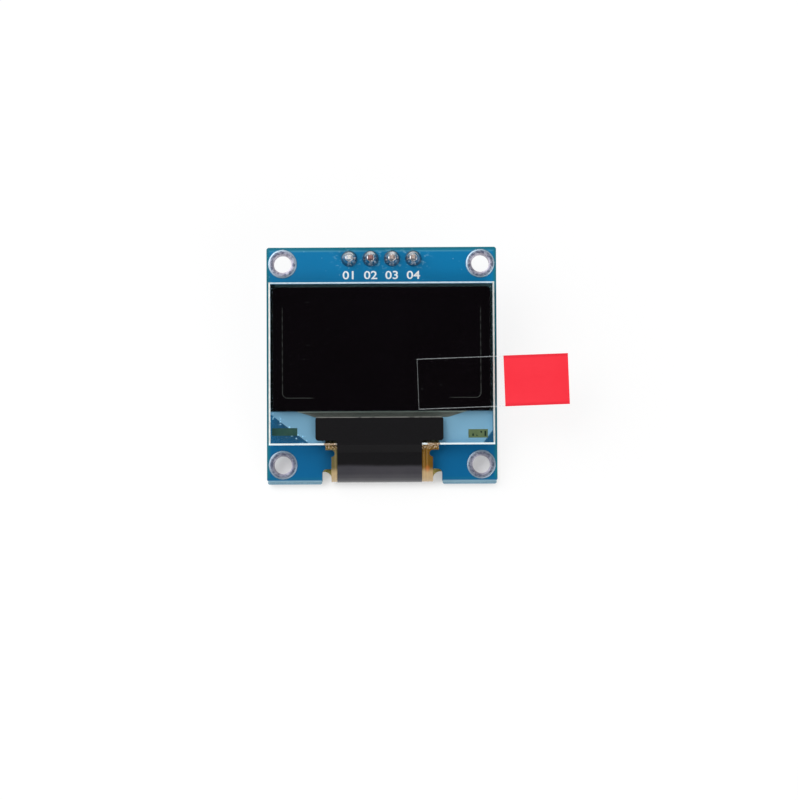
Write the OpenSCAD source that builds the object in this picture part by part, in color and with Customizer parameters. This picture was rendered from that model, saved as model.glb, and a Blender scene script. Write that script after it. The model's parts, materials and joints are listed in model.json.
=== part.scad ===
// Small graphic display module: a glass panel taped to a blue circuit board, with a folded
// ribbon circuit, a four-pin header and the supply parts on the board's back.
// Origin: centre of the hole pattern, on the board's back face. +Z is the way the display looks,
// +Y is the header's side and +X is the pull tab's side.

/* [Circuit board] */
// Distance that the board reaches past the front glass at each side
board_margin_x = 0.3; // [0.1:0.05:2]
// Distance that the board reaches past the front glass above and below
board_margin_y = 4.27; // [4.2:0.01:6]
// Thickness of the board with its solder mask
board_t = 1.2; // [0.8:0.1:1.6]
// Radius of the board's corners
board_corner_r = 0.3; // [0.1:0.1:1]
// Room between the ribbon's neck and each side of the notch
notch_margin = 1.1; // [0.9:0.1:1.6]
// Room between the ribbon's bend and the top of the notch
notch_gap = 0.3; // [0.1:0.02:0.5]
// Radius of the notch's inner corners
notch_r = 0.5; // [0.2:0.1:0.9]

/* [Mounting holes] */
// Bore of a mounting hole
hole_d = 2.1; // [1.8:0.1:2.4]
// Distance from a side edge to the hole's centre
hole_inset_x = 1.9; // [1.8:0.05:2.4]
// Distance from the top or bottom edge to the hole's centre
hole_inset_y = 1.95; // [1.8:0.05:2.4]
// Outer diameter of the tinned ring round a hole
ring_d = 3.4; // [3:0.1:3.5]
// Thickness of the plating
plating_t = 0.04; // [0.03:0.01:0.08]

/* [Header] */
// Distance between neighbouring pins
pin_pitch = 2.54; // [2:0.01:2.54]
// Side of the square pin
pin_w = 0.64; // [0.5:0.01:0.66]
// Length of a pin's tapered tip
pin_tip_l = 0.35; // [0.2:0.05:0.6]
// Width of the flat on a pin's tip
pin_tip_w = 0.36; // [0.2:0.02:0.44]
// Length of pin in front of the plastic, through the board
pin_front_l = 2.9; // [2.4:0.1:3.2]
// Length of pin behind the plastic
pin_rear_l = 6.1; // [4:0.1:8]
// Height of the plastic, away from the board
header_t = 2.5; // [1.5:0.1:2.8]
// Depth of the plastic, across the row of pins
header_d = 2.5; // [2:0.1:2.6]
// Corner cut between two pins
header_chamfer = 0.45; // [0.2:0.05:0.6]
// Distance from the board's top edge to the row of pins
header_inset = 1.35; // [1.3:0.05:2]
// Drilled hole for a pin
pin_hole_d = 1.0; // [0.96:0.02:1.2]
// Width of the solder joint on the board
solder_d = 1.95; // [1.6:0.05:1.95]
// Height of the solder joint
solder_h = 1.1; // [0.8:0.1:1.2]
// Width of the solder joint at its top
solder_top_d = 0.96; // [0.94:0.02:1.2]

/* [Display panel] */
// Width of the front glass
panel_w = 26.7; // [24:0.1:30]
// Height of the front glass
panel_h = 19.26; // [17.2:0.02:22]
// Thickness of the front glass
glass_t = 0.6; // [0.5:0.05:0.7]
// Width of the ground bevel along the front glass's edges
glass_bevel = 0.2; // [0.05:0.01:0.25]
// Height of the bare glass ledge below the cap
ledge_h = 4.0; // [3.8:0.1:4.4]
// Thickness of the cap glass
cap_t = 0.6; // [0.5:0.05:0.7]
// Distance of the cap glass from the front glass's edges
cap_inset = 0.2; // [0.1:0.05:0.4]
// Depth of the recess in the cap glass
recess_depth = 0.3; // [0.2:0.05:0.4]
// Width of the seal round the recess
seal_w = 1.3; // [0.8:0.1:2]
// Thickness of the seal
seal_t = 0.03; // [0.02:0.01:0.06]
// Thickness of the electrodes and the emitting layers
layer_t = 0.03; // [0.02:0.01:0.05]
// Thickness of the drying sheet
desiccant_t = 0.15; // [0.1:0.05:0.2]
// Free edge round the drying sheet
desiccant_gap = 0.6; // [0.3:0.1:1.5]
// Thickness of the polariser
polariser_t = 0.2; // [0.15:0.05:0.3]
// Distance of the polariser from the glass's side edges
polariser_inset = 0.5; // [0.3:0.05:0.7]
// Distance of the polariser from the glass's top edge
polariser_top = 0.6; // [0.3:0.1:0.8]
// Radius of the polariser's corners
polariser_r = 0.45; // [0.1:0.05:0.6]
// Height of the fan of traces on the ledge
fan_h = 0.75; // [0.5:0.05:0.9]
// Width of the fan at the cap
fan_top_w = 20.4; // [17:0.1:22]
// Width of the fan at the driver
fan_low_w = 15.6; // [9:0.1:16.5]
// Thickness of the foam tape
foam_t = 0.5; // [0.4:0.1:1]
// Distance of the foam tape from the cap glass's edges
foam_inset = 1.6; // [0.5:0.1:3]

/* [Driver and ribbon] */
// Length of the driver chip
driver_w = 6.8; // [5:0.1:8]
// Height of the driver chip across the ledge
driver_h = 0.9; // [0.7:0.1:1.1]
// Thickness of the driver chip
driver_t = 0.3; // [0.2:0.05:0.4]
// Gap between the driver chip and the end of the ribbon
driver_gap = 0.3; // [0.2:0.05:0.5]
// Thickness of the ribbon
ribbon_t = 0.12; // [0.08:0.01:0.16]
// Width of the ribbon's neck
neck_w = 12.0; // [11:0.1:12.4]
// Distance that the bonded end reaches past the neck at each side
bond_margin = 0.7; // [0.5:0.05:1]
// Length of the bond on the ledge
bond_l = 1.2; // [0.8:0.1:1.5]
// Length of the wide part below the glass
bond_overhang = 0.6; // [0.3:0.05:0.8]
// Radius of the two relief notches below the glass
relief_r = 0.4; // [0.2:0.05:0.5]
// Room between the ribbon's tail and the tinned rings beside it
tail_gap = 0.1; // [0.1:0.05:0.6]
// Length of the flat tail behind the board
tail_l = 4.3; // [3.6:0.1:5]
// Radius between the neck and the tail
tail_fillet = 0.9; // [0.5:0.1:1]
// Distance that the folded ribbon and its tape reach past the board's bottom edge
bend_overhang = 0.15; // [-0.2:0.05:0.3]
// Least distance from the tail's side to its first contact
contact_inset = 0.65; // [0.5:0.05:1]
// Distance between neighbouring contacts of the tail
contact_pitch = 0.62; // [0.58:0.01:0.65]
// Width of one soldered contact
contact_w = 0.38; // [0.25:0.01:0.45]
// Length of solder on the tail
contact_on_tail = 1.0; // [0.6:0.1:1.4]
// Length of solder on the board
contact_on_board = 0.6; // [0.4:0.1:1]
// Height of the solder above the board's back
contact_h = 0.26; // [0.22:0.01:0.4]

/* [Shading tape] */
// Thickness of the black tape
tape_t = 0.06; // [0.04:0.01:0.1]
// Width of the tape on the ledge
tape_head_w = 15.1; // [14:0.1:16]
// Height of the wide part of the tape
tape_head_h = 2.8; // [2:0.1:3.1]
// Distance of the wide part from the glass's bottom edge
tape_head_edge = 0.5; // [0.3:0.05:0.6]
// Distance of the tape from the ribbon's side edges
tape_inset = 1.0; // [0.6:0.1:1.5]
// Distance of the tape's middle from the ribbon's, to the left
tape_offset = 0.3; // [-0.4:0.05:0.4]
// Radius of the tape's corners
tape_r = 0.35; // [0.1:0.05:0.5]
// Length of the slope from the glass down to the ribbon
tape_slope_l = 0.9; // [0.5:0.1:1.4]
// Length of tape behind the board
tape_back_l = 0.6; // [0.3:0.1:1.2]

/* [Protective film] */
// Thickness of the protective film
film_t = 0.06; // [0.04:0.01:0.1]
// Distance of the protective film from the polariser's edges
film_inset = 0.05; // [0:0.05:0.3]
// Length of the pull tab's clear strip
tab_l = 17.8; // [15:0.1:20]
// Width of the pull tab
tab_w = 6.0; // [4:0.1:8]
// Thickness of the clear strip
tab_t = 0.05; // [0.03:0.01:0.1]
// Length of the red grip at the strip's end
grip_l = 7.6; // [6:0.1:8]
// Thickness of the red grip
grip_t = 0.1; // [0.06:0.01:0.2]
// Distance that the pull tab reaches past the front glass
tab_reach = 8.7; // [8.3:0.1:10]
// Height of the pull tab's outer end above the panel's middle line
tab_y = -1.95; // [-3:0.05:3]
// Tilt of the pull tab, in degrees
tab_tilt = 1.87; // [0:0.01:4]

/* [Supply parts] */
// Length of a chip resistor or capacitor
chip_l = 1.6; // [1.2:0.1:1.8]
// Width of a chip resistor or capacitor
chip_w = 0.8; // [0.5:0.1:1]
// Thickness of a chip capacitor
capacitor_t = 0.8; // [0.5:0.05:0.9]
// Thickness of a chip resistor
resistor_t = 0.45; // [0.3:0.05:0.55]
// Length of a chip's metal end
chip_end_l = 0.3; // [0.2:0.05:0.4]
// Height by which a chip's metal end stands proud of its body
chip_end_t = 0.02; // [0.01:0.005:0.04]
// Radius of a chip's long edges
chip_r = 0.06; // [0.03:0.01:0.1]
// Distance between neighbouring chips
chip_pitch = 2.0; // [1.6:0.1:2.2]
// Gap from the ribbon's contacts to the lower row of chips
chip_gap = 1.1; // [0.8:0.1:1.6]
// Distance from the lower row of chips to the upper row
row_pitch = 5.0; // [4.4:0.1:5.6]
// Foot of a solder fillet
fillet_l = 0.28; // [0.15:0.01:0.35]
// Height of a solder fillet on a chip's end
fillet_h = 0.3; // [0.15:0.05:0.3]
// Width of the regulator's body, along its row of two leads
regulator_w = 2.9; // [2.7:0.1:3.1]
// Depth of the regulator's body
regulator_d = 1.3; // [1.2:0.05:1.5]
// Height of the regulator's body
regulator_h = 1.0; // [0.8:0.05:1.1]
// Room between the regulator's body and the board
regulator_gap = 0.08; // [0.05:0.01:0.15]
// Width of a regulator lead
lead_w = 0.42; // [0.3:0.02:0.5]
// Thickness of a regulator lead
lead_t = 0.13; // [0.1:0.01:0.2]
// Reach of a regulator lead from the body
lead_l = 0.6; // [0.5:0.05:0.8]
// Draft of the regulator's sides, from its middle to its top or bottom
regulator_draft = 0.08; // [0.04:0.01:0.15]
// Length of a regulator lead's flat foot
foot_l = 0.3; // [0.2:0.02:0.35]
// Distance between the regulator's two neighbouring leads
lead_pitch = 1.9; // [1.7:0.05:2]

/* [Hidden] */
$fn = 48;

// The board's size follows the panel's.
board_w = panel_w + 2 * board_margin_x;
board_h = panel_h + 2 * board_margin_y;

// Places on the board
board_bottom = -board_h / 2;
board_top = board_h / 2;
hole_x = board_w / 2 - hole_inset_x;
hole_y = board_h / 2 - hole_inset_y;
header_y = board_top - header_inset;
PIN_COUNT = 4;
// A solder joint's flank: its number of steps, and how far it is drawn in at half its height
FLANK_STEPS = 6;
FLANK_HOLLOW = 0.2;
function pin_x(i) = (i - (PIN_COUNT + 1) / 2) * pin_pitch;

// Heights of the stack, from the board's back upwards
foam_z = board_t;
cap_z = foam_z + foam_t;
seal_z = cap_z + cap_t;
layer_z = seal_z + seal_t;
glass_z = layer_z + layer_t;
polariser_z = glass_z + glass_t;
film_z = polariser_z + polariser_t;
tab_z = film_z + film_t;
grip_z = tab_z + tab_t;

// Places on the panel
panel_bottom = -panel_h / 2;
panel_top = panel_h / 2;
ledge_y = panel_bottom + ledge_h;
cap_w = panel_w - 2 * cap_inset;
cap_h = panel_top - cap_inset - ledge_y;
cap_mid = ledge_y + cap_h / 2;
recess_w = cap_w - 2 * seal_w;
recess_h = cap_h - 2 * seal_w;
polariser_w = panel_w - 2 * polariser_inset;
polariser_h = panel_top - polariser_top - ledge_y;
polariser_mid = ledge_y + polariser_h / 2;

// The ribbon's bend: outside radius, and the place of its axis
bend_r = (glass_z + ribbon_t) / 2;
bend_low = board_bottom - bend_overhang;
bend_y = bend_low + tape_t + bend_r;
bend_z = glass_z - bend_r;
notch_top = bend_y + notch_gap;
tail_end = bend_y + tail_l;

// Widths along the ribbon, from its neck outwards, and the contacts that its tail holds
notch_w = neck_w + 2 * notch_margin;
bond_w = neck_w + 2 * bond_margin;
tape_neck_w = neck_w - 2 * tape_inset;
tail_w = 2 * (hole_x - ring_d / 2 - tail_gap);
contacts = floor((tail_w - 2 * contact_inset) / contact_pitch);

// Rows of chips behind the board
lower_row_y = tail_end + contact_on_board + chip_gap + chip_l / 2;
upper_row_y = lower_row_y + row_pitch;
LOWER_CAPACITORS = 5;
LOWER_RESISTORS = 4;
lower_count = LOWER_CAPACITORS + LOWER_RESISTORS;
function lower_x(i) = (i - (lower_count + 1) / 2) * chip_pitch;
regulator_x = lower_x(3);
regulator_mid = regulator_gap + regulator_h / 2;
// Centres of the chips, in the order of their numbers
capacitor_at = [
    for (i = [1:LOWER_CAPACITORS]) [lower_x(i), lower_row_y],
    [regulator_x - 1.5 * chip_pitch, upper_row_y],
    [regulator_x + 1.5 * chip_pitch, upper_row_y],
    [lower_x(lower_count), upper_row_y]
];
resistor_at = [
    for (i = [1:LOWER_RESISTORS]) [lower_x(LOWER_CAPACITORS + i), lower_row_y],
    [lower_x(6), upper_row_y],
    [lower_x(7), upper_row_y],
    [lower_x(8), upper_row_y]
];

// A rectangle with round corners, centred on the origin.
module rounded_outline(w, h, r) {
    hx = w / 2 - r;
    hy = h / 2 - r;
    union() {
        square([w, 2 * hy], center = true);
        square([2 * hx, h], center = true);
        for (x = [-hx, hx], y = [-hy, hy]) translate([x, y]) circle(r);
    }
}

// A flat plate centred on X, with its middle at y and its lower face at z.
module plate(w, h, t, y, z) {
    translate([-w / 2, y - h / 2, z]) cube([w, h, t]);
}

module rounded_plate(w, h, t, r, y, z) {
    translate([0, y, z]) linear_extrude(t) rounded_outline(w, h, r);
}

// Turns a profile drawn as (Y, Z) into a solid of width w along X, centred on X.
module across(w) {
    translate([-w / 2, 0, 0]) rotate([90, 0, 90]) linear_extrude(w) children();
}

module board_outline() {
    notch_mid = (notch_top + board_bottom) / 2;
    notch_h = notch_top - board_bottom;
    difference() {
        rounded_outline(board_w, board_h, board_corner_r);
        // The notch is open below, so its outline runs on past the board's edge.
        translate([0, notch_mid - notch_r])
            rounded_outline(notch_w, notch_h + 2 * notch_r, notch_r);
    }
}

module circuit_board() {
    color([0.06, 0.42, 0.62]) linear_extrude(board_t) difference() {
        board_outline();
        for (x = [-hole_x, hole_x], y = [-hole_y, hole_y])
            translate([x, y]) circle(hole_d / 2 + plating_t);
        for (i = [1:PIN_COUNT]) translate([pin_x(i), header_y]) circle(pin_hole_d / 2);
    }
}

// Plated wall of one mounting hole, with its ring on both faces.
module mounting_ring(x, y) {
    inner = hole_d / 2;
    outer = ring_d / 2;
    color([0.78, 0.78, 0.8]) translate([x, y, 0]) rotate_extrude() polygon([
        [inner, -plating_t], [outer, -plating_t], [outer, 0], [inner + plating_t, 0],
        [inner + plating_t, board_t], [outer, board_t], [outer, board_t + plating_t],
        [inner, board_t + plating_t]
    ]);
}

// The header's plastic: one bar with a V cut between each two pins and at both ends.
module header_body() {
    color([0.05, 0.05, 0.055]) translate([0, header_y, -header_t]) linear_extrude(header_t)
        difference() {
            square([PIN_COUNT * pin_pitch, header_d], center = true);
            for (i = [0:PIN_COUNT], side = [-1, 1])
                translate([pin_x(i + 0.5), side * header_d / 2]) v_cut(header_chamfer);
            for (i = [1:PIN_COUNT]) translate([pin_x(i), 0]) square(pin_w, center = true);
        }
}

module v_cut(depth) {
    polygon([[-depth, 0], [0, -depth], [depth, 0], [0, depth]]);
}

// Side view of a pin: straight, with both ends tapered.
module pin_profile() {
    low = -header_t - pin_rear_l;
    high = pin_front_l;
    a = pin_w / 2;
    b = pin_tip_w / 2;
    polygon([
        [-b, low], [b, low], [a, low + pin_tip_l], [a, high - pin_tip_l],
        [b, high], [-b, high], [-a, high - pin_tip_l], [-a, low + pin_tip_l]
    ]);
}

module header_pin(i) {
    color([0.86, 0.76, 0.5]) translate([pin_x(i), header_y, 0]) intersection() {
        across(pin_w) pin_profile();
        rotate(90) across(pin_w) pin_profile();
    }
}

// Solder round one pin: the filled hole and the hollow-sided cone on the board's front.
module solder_joint(i) {
    flank = [
        for (k = [0:FLANK_STEPS])
            let (s = k / FLANK_STEPS, drawn_in = s + FLANK_HOLLOW * sin(180 * s))
            [(solder_d + (solder_top_d - solder_d) * drawn_in) / 2, board_t + solder_h * s]
    ];
    color([0.75, 0.75, 0.76]) translate([pin_x(i), header_y, 0]) difference() {
        rotate_extrude() polygon(concat(
            [[0, 0], [pin_hole_d / 2, 0], [pin_hole_d / 2, board_t]],
            flank,
            [[0, board_t + solder_h]]
        ));
        translate([0, 0, (board_t + solder_h) / 2])
            cube([pin_w, pin_w, board_t + solder_h + 2 * pin_w], center = true);
    }
}

module foam_tape() {
    color([0.9, 0.9, 0.88])
        plate(cap_w - 2 * foam_inset, cap_h - 2 * foam_inset, foam_t, cap_mid, foam_z);
}

module cap_glass() {
    color([0.7, 0.8, 0.78]) difference() {
        plate(cap_w, cap_h, cap_t, cap_mid, cap_z);
        plate(recess_w, recess_h, 2 * recess_depth, cap_mid, seal_z - recess_depth);
    }
}

module desiccant_sheet() {
    color([0.85, 0.84, 0.8]) plate(
        recess_w - 2 * desiccant_gap, recess_h - 2 * desiccant_gap, desiccant_t,
        cap_mid, seal_z - recess_depth
    );
}

module edge_seal() {
    color([0.6, 0.58, 0.45]) difference() {
        plate(cap_w, cap_h, seal_t, cap_mid, seal_z);
        plate(recess_w, recess_h, 3 * seal_t, cap_mid, seal_z - seal_t);
    }
}

// Electrodes and emitting layers behind the front glass, with the fan of traces to the driver.
module emitting_layer() {
    color([0.2, 0.21, 0.18]) translate([0, 0, layer_z]) linear_extrude(layer_t) union() {
        translate([0, cap_mid]) square([cap_w, cap_h], center = true);
        polygon([
            [-fan_top_w / 2, ledge_y], [-fan_low_w / 2, ledge_y - fan_h],
            [fan_low_w / 2, ledge_y - fan_h], [fan_top_w / 2, ledge_y]
        ]);
    }
}

// Side view of the front glass, w wide, with its upper edges ground off.
module glass_profile(w) {
    a = w / 2;
    polygon([
        [-a, 0], [a, 0], [a, glass_t - glass_bevel], [a - glass_bevel, glass_t],
        [-a + glass_bevel, glass_t], [-a, glass_t - glass_bevel]
    ]);
}

module front_glass() {
    color([0.62, 0.78, 0.86]) translate([0, 0, glass_z]) intersection() {
        across(panel_w) glass_profile(panel_h);
        rotate(90) across(panel_h) glass_profile(panel_w);
    }
}

module polariser() {
    color([0.03, 0.03, 0.035])
        rounded_plate(polariser_w, polariser_h, polariser_t, polariser_r, polariser_mid, polariser_z);
}

module protective_film() {
    color([0.8, 0.85, 0.88]) rounded_plate(
        polariser_w - 2 * film_inset, polariser_h - 2 * film_inset, film_t,
        polariser_r, polariser_mid, film_z
    );
}

// Places its children with X along the pull tab, from the tab's outer end inwards.
module on_tab(z) {
    translate([panel_w / 2 + tab_reach, tab_y, z]) rotate(tab_tilt) children();
}

module pull_tab_film() {
    color([0.85, 0.9, 0.92]) on_tab(tab_z)
        translate([-tab_l, -tab_w / 2, 0]) cube([tab_l, tab_w, tab_t]);
}

module pull_tab_grip() {
    color([0.95, 0.16, 0.22]) on_tab(grip_z)
        translate([-grip_l, -tab_w / 2, 0]) cube([grip_l, tab_w, grip_t]);
}

module driver_chip() {
    driver_mid = panel_bottom + bond_l + driver_gap + driver_h / 2;
    color([0.25, 0.25, 0.28]) plate(driver_w, driver_h, driver_t, driver_mid, glass_z - driver_t);
}

// Side view of a strip that follows the ribbon's bend: outside radius r, thickness t.
module bent_strip(r, t, front_end, back_end) {
    translate([bend_y, bend_z]) difference() {
        intersection() {
            circle(r);
            translate([-2 * r, -2 * r]) square([2 * r, 4 * r]);
        }
        circle(r - t);
    }
    translate([bend_y, bend_z + r - t]) square([front_end - bend_y, t]);
    translate([bend_y, bend_z - r]) square([back_end - bend_y, t]);
}

// Plan of the ribbon's front half: the bonded end, the relief notches and the neck.
module ribbon_front_plan() {
    bond_low = panel_bottom - bond_overhang;
    bond_top = panel_bottom + bond_l;
    difference() {
        union() {
            translate([-bond_w / 2, bond_low]) square([bond_w, bond_top - bond_low]);
            translate([-neck_w / 2, bend_low]) square([neck_w, bond_top - bend_low]);
        }
        for (side = [-1, 1])
            translate([side * neck_w / 2, bond_low - relief_r]) circle(relief_r);
    }
}

// Plan of the ribbon's back half: the neck, its fillets and the wide tail.
module ribbon_back_plan() {
    half = neck_w / 2;
    union() {
        translate([-half, bend_low]) square([neck_w, tail_end - bend_low]);
        translate([-tail_w / 2, bend_y]) square([tail_w, tail_end - bend_y]);
        for (side = [-1, 1]) difference() {
            translate([side * (half + tail_fillet / 2), bend_y - tail_fillet / 2])
                square(tail_fillet, center = true);
            translate([side * (half + tail_fillet), bend_y - tail_fillet]) circle(tail_fillet);
        }
    }
}

// The ribbon leaves the ledge, bends through the notch and opens into its tail behind the board.
module ribbon_flex() {
    reach = 3 * bend_r;
    color([0.82, 0.56, 0.16]) intersection() {
        across(tail_w + reach) bent_strip(bend_r, ribbon_t, panel_bottom + bond_l, tail_end);
        union() {
            translate([0, 0, bend_z]) linear_extrude(reach) ribbon_front_plan();
            translate([0, 0, bend_z - reach]) linear_extrude(reach) ribbon_back_plan();
        }
    }
}

// Side view of the tape: on the ledge, down the slope, round the bend and behind the board.
module tape_profile() {
    slope_low = panel_bottom - tape_slope_l;
    head_top = panel_bottom + tape_head_edge + tape_head_h;
    union() {
        bent_strip(bend_r + tape_t, tape_t, slope_low, bend_y + tape_back_l);
        polygon([
            [slope_low, glass_z], [panel_bottom, polariser_z], [head_top, polariser_z],
            [head_top, polariser_z + tape_t], [panel_bottom, polariser_z + tape_t],
            [slope_low, glass_z + tape_t]
        ]);
    }
}

// Plan of the tape: a T with its wide part on the ledge.
module tape_plan() {
    head_low = panel_bottom + tape_head_edge;
    translate([-tape_offset, 0]) union() {
        translate([0, head_low + tape_head_h / 2])
            rounded_outline(tape_head_w, tape_head_h, tape_r);
        translate([-tape_neck_w / 2, bend_low])
            square([tape_neck_w, head_low + tape_r - bend_low]);
        for (side = [-1, 1]) difference() {
            translate([side * (tape_neck_w + tape_r) / 2, head_low - tape_r / 2])
                square(tape_r, center = true);
            translate([side * (tape_neck_w / 2 + tape_r), head_low - tape_r]) circle(tape_r);
        }
    }
}

module shading_tape() {
    tall = polariser_z + tape_t + 2 * bend_r;
    color([0.1, 0.1, 0.1]) intersection() {
        across(tape_head_w + 2 * tape_r + 2 * abs(tape_offset)) tape_profile();
        translate([0, 0, -bend_r]) linear_extrude(tall) tape_plan();
    }
}

// One row of solder joints, from each contact of the tail to its pad behind the board.
module flex_solder() {
    length = contact_on_tail + contact_on_board;
    dome_r = (length * length / 4 + contact_h * contact_h) / (2 * contact_h);
    mid = tail_end + contact_on_board - length / 2;
    color([0.78, 0.78, 0.8]) for (i = [1:contacts])
        translate([(i - (contacts + 1) / 2) * contact_pitch, 0, 0]) across(contact_w) difference() {
            intersection() {
                translate([mid, dome_r - contact_h]) circle(dome_r);
                translate([mid - length, -length]) square([2 * length, length]);
            }
            translate([mid - length, -ribbon_t]) square([tail_end - mid + length, 2 * ribbon_t]);
        }
}

// Side view of the regulator's body, with its sides drawn in above and below its middle.
module regulator_profile(w) {
    draft = regulator_draft;
    a = w / 2;
    top = -regulator_gap;
    bottom = top - regulator_h;
    polygon([
        [-a + draft, bottom], [a - draft, bottom], [a, -regulator_mid],
        [a - draft, top], [-a + draft, top], [-a, -regulator_mid]
    ]);
}

module regulator_body() {
    color([0.08, 0.08, 0.085]) translate([regulator_x, upper_row_y, 0]) intersection() {
        across(regulator_w) regulator_profile(regulator_d);
        rotate(90) across(regulator_d) regulator_profile(regulator_w);
    }
}

// Side view of one lead: straight out of the body, down, and flat on the board.
module lead_profile() {
    out = regulator_d / 2;
    end = out + lead_l;
    bend = end - foot_l;
    knee = (out + bend) / 2;
    low = -regulator_mid - lead_t / 2;
    high = low + lead_t;
    polygon([
        [out, low], [knee, low], [bend + lead_t, -lead_t], [end, -lead_t],
        [end, 0], [bend, 0], [knee - lead_t / 2, high], [out, high]
    ]);
}

module regulator_leads() {
    color([0.78, 0.78, 0.8]) translate([regulator_x, upper_row_y, 0]) {
        for (x = [-lead_pitch / 2, lead_pitch / 2])
            translate([x, 0, 0]) across(lead_w) lead_profile();
        rotate(180) across(lead_w) lead_profile();
    }
}

// A chip on the board's back: a body between two metal ends, t thick.
module chip(at, t, body_color) {
    body_l = chip_l - 2 * chip_end_l;
    body_t = t - 2 * chip_end_t;
    body_w = chip_w - 2 * chip_end_t;
    translate([at[0], at[1], -t / 2]) rotate([90, 0, 0]) {
        color(body_color) linear_extrude(body_l, center = true)
            rounded_outline(body_w, body_t, chip_r);
        color([0.8, 0.8, 0.82]) for (side = [-1, 1])
            translate([0, 0, side * (chip_l - chip_end_l) / 2])
                linear_extrude(chip_end_l, center = true) rounded_outline(chip_w, t, chip_r);
    }
}

module capacitor(i) {
    chip(capacitor_at[i - 1], capacitor_t, [0.62, 0.48, 0.33]);
}

module resistor(i) {
    chip(resistor_at[i - 1], resistor_t, [0.07, 0.07, 0.08]);
}

// The two hollow solder fillets at a chip's ends.
module chip_fillets(at) {
    for (side = [0, 180]) translate([at[0], at[1], 0]) rotate(side)
        across(chip_w) translate([chip_l / 2, 0]) polygon([
            [0, 0], [fillet_l, 0], [fillet_l / 3, -fillet_h / 3], [0, -fillet_h]
        ]);
}

module chip_solder() {
    color([0.78, 0.78, 0.8]) for (at = concat(capacitor_at, resistor_at)) chip_fillets(at);
}

circuit_board();
mounting_ring(-hole_x, hole_y);  // mounting_ring_1
mounting_ring(hole_x, hole_y);  // mounting_ring_2
mounting_ring(-hole_x, -hole_y);  // mounting_ring_3
mounting_ring(hole_x, -hole_y);  // mounting_ring_4
header_body();
header_pin(1);  // header_pin_1
header_pin(2);  // header_pin_2
header_pin(3);  // header_pin_3
header_pin(4);  // header_pin_4
solder_joint(1);  // solder_joint_1
solder_joint(2);  // solder_joint_2
solder_joint(3);  // solder_joint_3
solder_joint(4);  // solder_joint_4
foam_tape();
cap_glass();
desiccant_sheet();
edge_seal();
emitting_layer();
front_glass();
polariser();
protective_film();
pull_tab_film();
pull_tab_grip();
driver_chip();
ribbon_flex();
shading_tape();
flex_solder();
regulator_body();
regulator_leads();
capacitor(1);  // capacitor_1
capacitor(2);  // capacitor_2
capacitor(3);  // capacitor_3
capacitor(4);  // capacitor_4
capacitor(5);  // capacitor_5
capacitor(6);  // capacitor_6
capacitor(7);  // capacitor_7
capacitor(8);  // capacitor_8
resistor(1);  // resistor_1
resistor(2);  // resistor_2
resistor(3);  // resistor_3
resistor(4);  // resistor_4
resistor(5);  // resistor_5
resistor(6);  // resistor_6
resistor(7);  // resistor_7
chip_solder();
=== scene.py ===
"""Finish and studio for a small display module: a glass panel on a blue circuit board.

Lengths here are millimetres, and MM turns them into the frame's metres. Boxes read from the
frame give every place: X runs to the right, Y to the header's edge, Z to the display's face.
"""

import json
import math

import bmesh
import bpy
from mathutils import Matrix, Vector


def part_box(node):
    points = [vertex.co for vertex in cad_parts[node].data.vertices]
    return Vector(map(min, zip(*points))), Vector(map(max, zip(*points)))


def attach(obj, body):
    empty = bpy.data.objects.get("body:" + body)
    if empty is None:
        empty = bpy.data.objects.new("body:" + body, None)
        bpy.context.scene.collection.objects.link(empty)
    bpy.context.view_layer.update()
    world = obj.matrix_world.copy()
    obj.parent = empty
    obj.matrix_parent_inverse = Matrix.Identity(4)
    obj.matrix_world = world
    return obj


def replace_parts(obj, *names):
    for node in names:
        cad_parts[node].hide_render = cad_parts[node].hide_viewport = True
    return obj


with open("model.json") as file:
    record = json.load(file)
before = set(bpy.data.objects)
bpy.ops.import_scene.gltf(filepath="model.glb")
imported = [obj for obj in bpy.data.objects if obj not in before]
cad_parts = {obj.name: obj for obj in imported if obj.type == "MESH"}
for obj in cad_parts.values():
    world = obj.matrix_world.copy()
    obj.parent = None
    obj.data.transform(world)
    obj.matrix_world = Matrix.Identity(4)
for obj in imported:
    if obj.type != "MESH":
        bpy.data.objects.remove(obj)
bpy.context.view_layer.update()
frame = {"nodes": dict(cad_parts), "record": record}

MM = 0.001
UP = Vector((0, 0, 1))


def box(node):
    """Lowest and highest corner of a node of the frame, in millimetres."""
    low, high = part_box(node)
    return low / MM, high / MM


BOARD_LOW, BOARD_HIGH = box("circuit_board")
GLASS_LOW, GLASS_HIGH = box("front_glass")
CAP_LOW = box("cap_glass")[0]
POLAR_HIGH = box("polariser")[1]
RIBBON_LOW, RIBBON_HIGH = box("ribbon_flex")
TAPE_LOW, TAPE_HIGH = box("shading_tape")
HEADER_LOW, HEADER_HIGH = box("header_body")
RING_LOW, RING_HIGH = box("mounting_ring_2")
LOW_ROW = (box("capacitor_1")[0] + box("capacitor_1")[1]) / 2
HIGH_ROW = (box("capacitor_6")[0] + box("capacitor_6")[1]) / 2
HOLE = (RING_LOW + RING_HIGH) / 2
RING_R = (RING_HIGH.x - RING_LOW.x) / 2
LEDGE_TOP = CAP_LOW.y
MARK_Y = GLASS_LOW.y + 1.3
FAN_LOW, FAN_W, FAN_SLOPE = LEDGE_TOP - 0.75, 15.6, 3.2  # its foot, width there and spread
PINS = [(box(f"header_pin_{i}")[0] + box(f"header_pin_{i}")[1]) / 2 for i in range(1, 5)]
FOLD_Y = TAPE_LOW.y + (TAPE_HIGH.z - TAPE_LOW.z) / 2  # roughly where the ribbon starts to bend
CHIP_WAIST = 0.5  # half the length of a chip's body, between its metal ends
CHIPS = [box(f"capacitor_{i}") for i in range(1, 9)] + [box(f"resistor_{i}") for i in range(1, 8)]
CONTACTS, CONTACT_W = 30, 0.38  # the soldered contacts of the ribbon's tail
NOTCH_SIDE = 7.15  # from the middle to the board's solid edge beside the notch
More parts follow.
